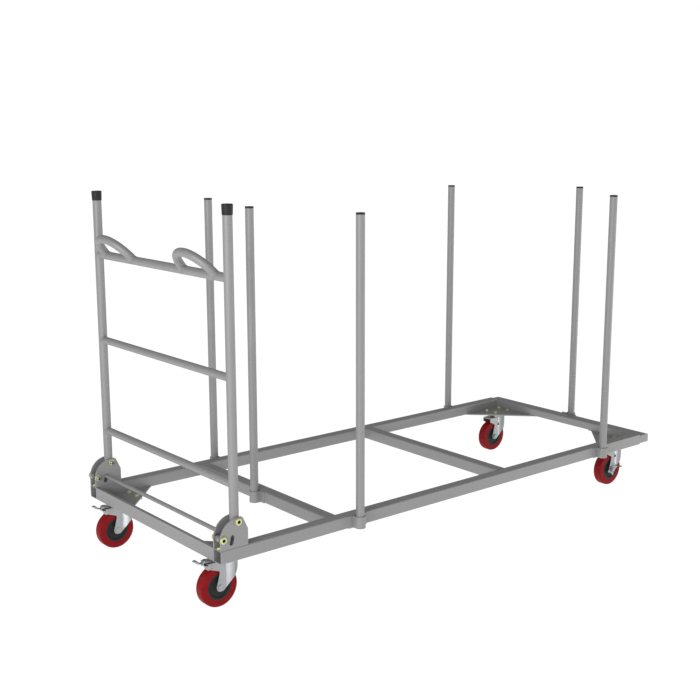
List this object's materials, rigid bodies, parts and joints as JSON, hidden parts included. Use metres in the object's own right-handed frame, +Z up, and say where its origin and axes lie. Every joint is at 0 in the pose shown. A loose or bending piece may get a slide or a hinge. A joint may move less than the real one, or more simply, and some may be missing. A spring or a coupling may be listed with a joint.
{
  "type": "banquet table trolley",
  "caption": "Low tubular trolley on braked swivel casters, with lift-out posts round its bay and a folding push handle, for moving stacked tabletops.",
  "frame": {"origin": "on the floor, under the middle of the trolley's length and width", "axes": "+X along the trolley from the handle to the far end, +Y to its left side as the user pushes it, +Z up"},
  "size_m": [2.046, 0.852, 1.171],
  "materials": {
    "paint": "silver-grey powder coat, satin",
    "yellow_zinc": "yellow passivated zinc plate",
    "bright_zinc": "bright zinc plate",
    "tyre": "red cast polyurethane, satin",
    "core": "charcoal moulded nylon",
    "cap": "black moulded plastic",
    "spring_steel": "oiled spring wire"
  },
  "bodies": {
    "base": {"left_rail": "paint", "right_rail": "paint", "front_channel": "paint", "deck_front_tube": "paint", "deck_middle_tube": "paint", "end_tube": "paint", "caster_gussets": "paint", "left_bracket": "paint", "right_bracket": "paint", "hinge_bolts": "yellow_zinc", "stop_bolts": "yellow_zinc", "post_sockets": "paint", "caster_plates": "bright_zinc", "caster_bolts": "yellow_zinc"},
    "handle": {"left_upright": "paint", "right_upright": "paint", "top_bar": "paint", "middle_bar": "paint", "lower_bar": "paint", "left_grip": "paint", "right_grip": "paint", "handle_caps": "cap", "pivot_bushes": "bright_zinc"},
    "release": {"release_bar": "paint", "left_pawl": "bright_zinc", "right_pawl": "bright_zinc", "return_springs": "spring_steel"},
    "front_left_post": {"front_left_post": "paint", "front_left_post_cap": "cap"},
    "front_right_post": {"front_right_post": "paint", "front_right_post_cap": "cap"},
    "rear_left_post": {"rear_left_post": "paint", "rear_left_post_cap": "cap"},
    "rear_right_post": {"rear_right_post": "paint", "rear_right_post_cap": "cap"},
    "handle_end_post": {"handle_end_post": "paint", "handle_end_post_cap": "cap"},
    "far_end_post": {"far_end_post": "paint", "far_end_post_cap": "cap"},
    "front_left_fork": {"front_left_fork": "bright_zinc", "front_left_axle": "bright_zinc"},
    "front_left_wheel": {"front_left_tyre": "tyre", "front_left_core": "core"},
    "front_left_brake": {"front_left_brake": "bright_zinc"},
    "front_right_fork": {"front_right_fork": "bright_zinc", "front_right_axle": "bright_zinc"},
    "front_right_wheel": {"front_right_tyre": "tyre", "front_right_core": "core"},
    "front_right_brake": {"front_right_brake": "bright_zinc"},
    "rear_left_fork": {"rear_left_fork": "bright_zinc", "rear_left_axle": "bright_zinc"},
    "rear_left_wheel": {"rear_left_tyre": "tyre", "rear_left_core": "core"},
    "rear_left_brake": {"rear_left_brake": "bright_zinc"},
    "rear_right_fork": {"rear_right_fork": "bright_zinc", "rear_right_axle": "bright_zinc"},
    "rear_right_wheel": {"rear_right_tyre": "tyre", "rear_right_core": "core"},
    "rear_right_brake": {"rear_right_brake": "bright_zinc"}
  },
  "joints": [
    {"name": "handle_fold", "type": "hinge", "parent": "base", "child": "handle", "pos_m": [-0.921, 0, 0.276], "axis": [0, 1, 0], "range_deg": [0, 25]},
    {"name": "release_press", "type": "hinge", "parent": "base", "child": "release", "pos_m": [-0.973, 0, 0.232], "axis": [0, 1, 0], "range_deg": [0, 25], "stiffness_Nm_per_rad": 1.5, "springref_deg": -28.65},
    {"name": "front_left_post_lift", "type": "slide", "parent": "base", "child": "front_left_post", "axis": [0, 0, 1], "range_m": [0, 0.08]},
    {"name": "front_right_post_lift", "type": "slide", "parent": "base", "child": "front_right_post", "axis": [0, 0, 1], "range_m": [0, 0.08]},
    {"name": "rear_left_post_lift", "type": "slide", "parent": "base", "child": "rear_left_post", "axis": [0, 0, 1], "range_m": [0, 0.08]},
    {"name": "rear_right_post_lift", "type": "slide", "parent": "base", "child": "rear_right_post", "axis": [0, 0, 1], "range_m": [0, 0.08]},
    {"name": "handle_end_post_lift", "type": "slide", "parent": "base", "child": "handle_end_post", "axis": [0, 0, 1], "range_m": [0, 0.08]},
    {"name": "far_end_post_lift", "type": "slide", "parent": "base", "child": "far_end_post", "axis": [0, 0, 1], "range_m": [0, 0.08]},
    {"name": "front_left_swivel", "type": "hinge", "parent": "base", "child": "front_left_fork", "pos_m": [-0.907, 0.308, 0.15], "axis": [0, 0, 1], "continuous": true},
    {"name": "front_left_wheel_spin", "type": "hinge", "parent": "front_left_fork", "child": "front_left_wheel", "pos_m": [-0.943, 0.308, 0.0625], "axis": [0, 1, 0], "continuous": true},
    {"name": "front_left_brake_press", "type": "hinge", "parent": "front_left_fork", "child": "front_left_brake", "pos_m": [-0.971, 0.308, 0.1315], "axis": [0, -1, 0], "range_deg": [0, 12]},
    {"name": "front_right_swivel", "type": "hinge", "parent": "base", "child": "front_right_fork", "pos_m": [-0.907, -0.308, 0.15], "axis": [0, 0, 1], "continuous": true},
    {"name": "front_right_wheel_spin", "type": "hinge", "parent": "front_right_fork", "child": "front_right_wheel", "pos_m": [-0.943, -0.308, 0.0625], "axis": [0, 1, 0], "continuous": true},
    {"name": "front_right_brake_press", "type": "hinge", "parent": "front_right_fork", "child": "front_right_brake", "pos_m": [-0.971, -0.308, 0.1315], "axis": [0, -1, 0], "range_deg": [0, 12]},
    {"name": "rear_left_swivel", "type": "hinge", "parent": "base", "child": "rear_left_fork", "pos_m": [0.892, 0.308, 0.15], "axis": [0, 0, 1], "continuous": true},
    {"name": "rear_left_wheel_spin", "type": "hinge", "parent": "rear_left_fork", "child": "rear_left_wheel", "pos_m": [0.856, 0.308, 0.0625], "axis": [0, 1, 0], "continuous": true},
    {"name": "rear_left_brake_press", "type": "hinge", "parent": "rear_left_fork", "child": "rear_left_brake", "pos_m": [0.856, 0.308, 0.0625], "axis": [0, 1, 0], "range_deg": [0, 15]},
    {"name": "rear_right_swivel", "type": "hinge", "parent": "base", "child": "rear_right_fork", "pos_m": [0.892, -0.308, 0.15], "axis": [0, 0, 1], "continuous": true},
    {"name": "rear_right_wheel_spin", "type": "hinge", "parent": "rear_right_fork", "child": "rear_right_wheel", "pos_m": [0.856, -0.308, 0.0625], "axis": [0, 1, 0], "continuous": true},
    {"name": "rear_right_brake_press", "type": "hinge", "parent": "rear_right_fork", "child": "rear_right_brake", "pos_m": [0.856, -0.308, 0.0625], "axis": [0, 1, 0], "range_deg": [0, 15]}
  ]
}
